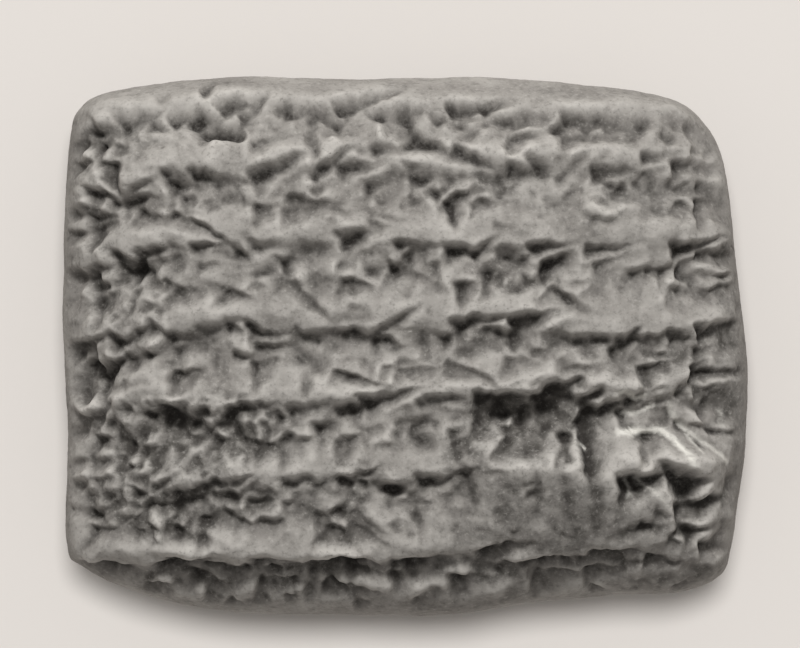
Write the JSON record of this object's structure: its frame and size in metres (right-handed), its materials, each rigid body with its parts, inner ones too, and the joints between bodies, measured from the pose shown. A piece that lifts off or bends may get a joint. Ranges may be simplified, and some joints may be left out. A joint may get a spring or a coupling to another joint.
{
  "type": "cuneiform tablet",
  "caption": "Small pillow-shaped clay tablet, worn and pitted, its faces pressed with lines of wedge-shaped strokes; lies flat on its back.",
  "frame": {"origin": "middle of the flat on the tablet's back, on the surface that it rests on", "axes": "+X along the lines of writing, towards their ends; +Y up the page, towards the first line; +Z out of the front face"},
  "size_m": [0.054, 0.0424, 0.0203],
  "materials": {
    "clay": "dry unglazed clay, matte, worn and stained"
  },
  "bodies": {
    "root": {"tablet": "clay"}
  },
  "joints": []
}
